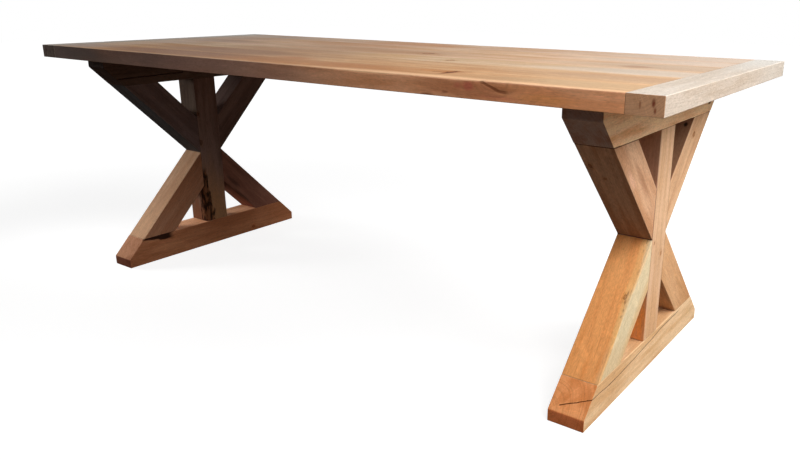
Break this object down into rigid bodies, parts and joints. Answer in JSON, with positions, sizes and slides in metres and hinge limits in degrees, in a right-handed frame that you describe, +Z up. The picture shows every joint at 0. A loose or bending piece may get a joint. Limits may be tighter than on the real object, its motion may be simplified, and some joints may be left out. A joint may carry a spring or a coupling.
{
  "type": "sawbuck table",
  "caption": "Rectangular plank-topped dining table with cross boards at its ends, on X-leg trestles, each with a central post and diagonal braces.",
  "frame": {"origin": "on the floor under the middle of the table", "axes": "+X along the table's length, +Y to its back, +Z up"},
  "size_m": [2.15, 0.9, 0.77],
  "materials": {
    "oak_planks": "oiled, lengthwise grain",
    "oak_end_boards": "oiled, pale",
    "oak_trestles": "oiled, lengthwise grain",
    "oak_joinery": "bare",
    "zinc_steel": "zinc plated"
  },
  "bodies": {
    "root": {"end_board_left": "oak_end_boards", "end_board_right": "oak_end_boards", "left_foot_beam": "oak_trestles", "left_lower_back_brace": "oak_trestles", "left_lower_front_brace": "oak_trestles", "left_post": "oak_trestles", "left_top_beam": "oak_trestles", "left_top_bolts": "zinc_steel", "left_top_inserts": "zinc_steel", "left_top_washers": "zinc_steel", "left_upper_back_brace": "oak_trestles", "left_upper_front_brace": "oak_trestles", "left_waist_dowels": "oak_joinery", "plank_1": "oak_planks", "plank_2": "oak_planks", "plank_3": "oak_planks", "plank_4": "oak_planks", "plank_5": "oak_planks", "plank_6": "oak_planks", "plank_splines": "oak_joinery", "right_foot_beam": "oak_trestles", "right_lower_back_brace": "oak_trestles", "right_lower_front_brace": "oak_trestles", "right_post": "oak_trestles", "right_top_beam": "oak_trestles", "right_top_bolts": "zinc_steel", "right_top_inserts": "zinc_steel", "right_top_washers": "zinc_steel", "right_upper_back_brace": "oak_trestles", "right_upper_front_brace": "oak_trestles", "right_waist_dowels": "oak_joinery"}
  },
  "joints": []
}
